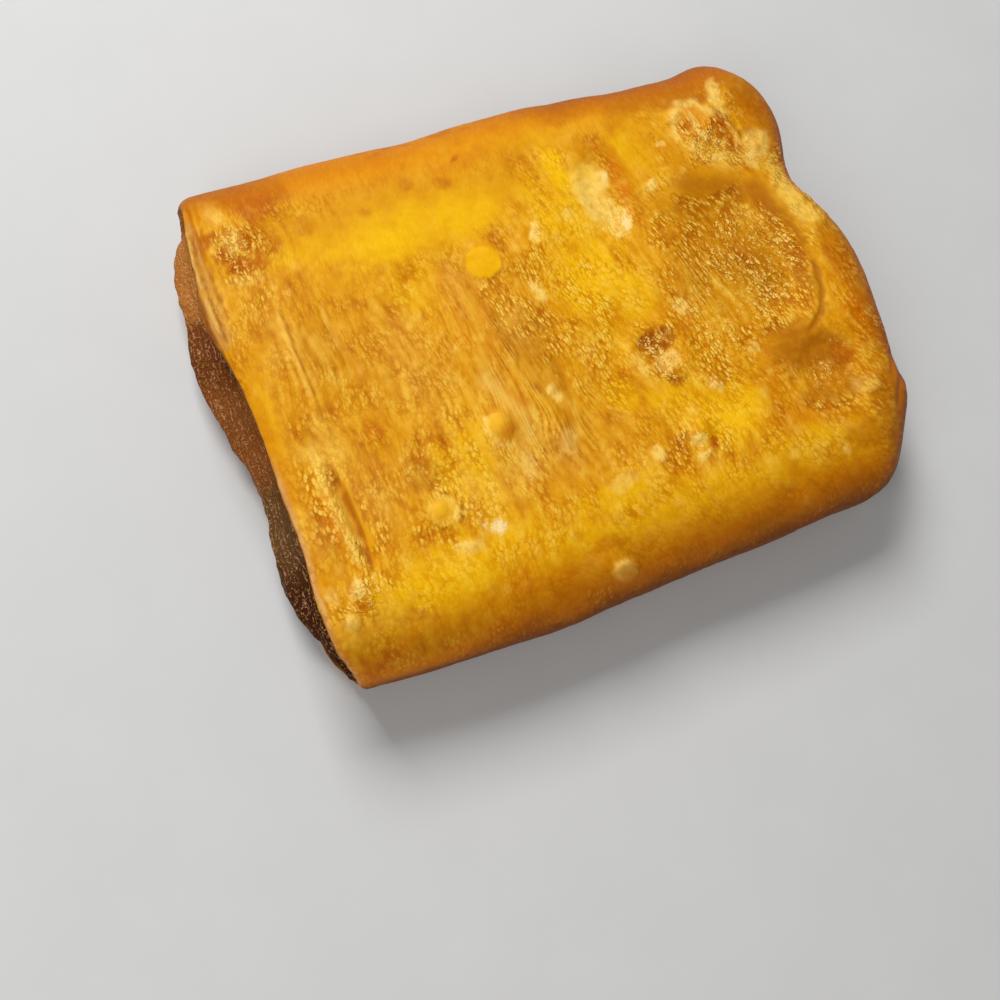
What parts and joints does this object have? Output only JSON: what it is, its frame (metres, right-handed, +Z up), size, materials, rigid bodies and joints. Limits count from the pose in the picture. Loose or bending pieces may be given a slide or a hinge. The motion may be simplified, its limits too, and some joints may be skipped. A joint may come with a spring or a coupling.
{
  "type": "beef pizza puff",
  "caption": "Fried flat pastry puff, folded dough round a filling: rounded long sides and right end, layered square left end, blistered golden top.",
  "frame": {"origin": "under the middle of the bounding box, on the surface the puff rests on", "axes": "+X along the puff's length, away from the end where its layers show; +Y to the back long side; +Z up, out of the blistered top"},
  "size_m": [0.1298, 0.0992, 0.026],
  "materials": {
    "fried_crust": "deep-fried dough, golden yellow to orange brown with tan patches, fine blisters and an oily sheen"
  },
  "bodies": {
    "root": {"pastry": "fried_crust"}
  },
  "joints": []
}
